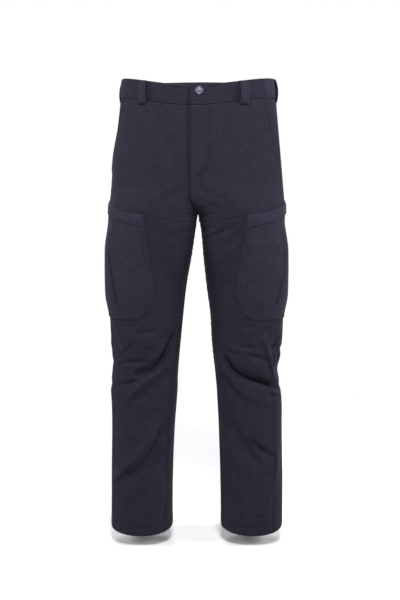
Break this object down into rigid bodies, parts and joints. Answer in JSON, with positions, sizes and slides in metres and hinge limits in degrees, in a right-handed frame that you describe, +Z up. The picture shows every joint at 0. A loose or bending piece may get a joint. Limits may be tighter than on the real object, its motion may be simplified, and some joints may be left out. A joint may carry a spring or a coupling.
{
  "type": "trousers",
  "caption": "Worn-form woven cargo trousers, hollow, with waistband and tab, slanted hip pockets, flapped thigh pockets and straight legs with creased knees",
  "frame": {"origin": "centre of the waist opening, level with the waistband's top edge at the sides", "axes": "+Z up, -Y towards the wearer's front, +X towards the wearer's left"},
  "size_m": [0.4252, 0.26, 1.065],
  "materials": {
    "trouser_cloth": "woven charcoal stretch cloth with a faint sheen",
    "loop_cloth": "folded strips of the same cloth",
    "button_metal": "satin tack button with a plain face"
  },
  "bodies": {
    "root": {"back_left": "trouser_cloth", "back_right": "trouser_cloth", "cargo_flap_left": "trouser_cloth", "cargo_flap_right": "trouser_cloth", "cargo_pocket_left": "trouser_cloth", "cargo_pocket_right": "trouser_cloth", "front_left": "trouser_cloth", "front_leg_left": "trouser_cloth", "front_leg_right": "trouser_cloth", "front_right": "trouser_cloth", "hip_pocket_left": "trouser_cloth", "hip_pocket_right": "trouser_cloth", "waistband_back": "trouser_cloth", "waistband_left": "trouser_cloth", "waistband_right": "trouser_cloth", "loop_back": "loop_cloth", "loop_front_left": "loop_cloth", "loop_front_right": "loop_cloth", "loop_side_left": "loop_cloth", "loop_side_right": "loop_cloth", "button": "button_metal"}
  },
  "joints": []
}
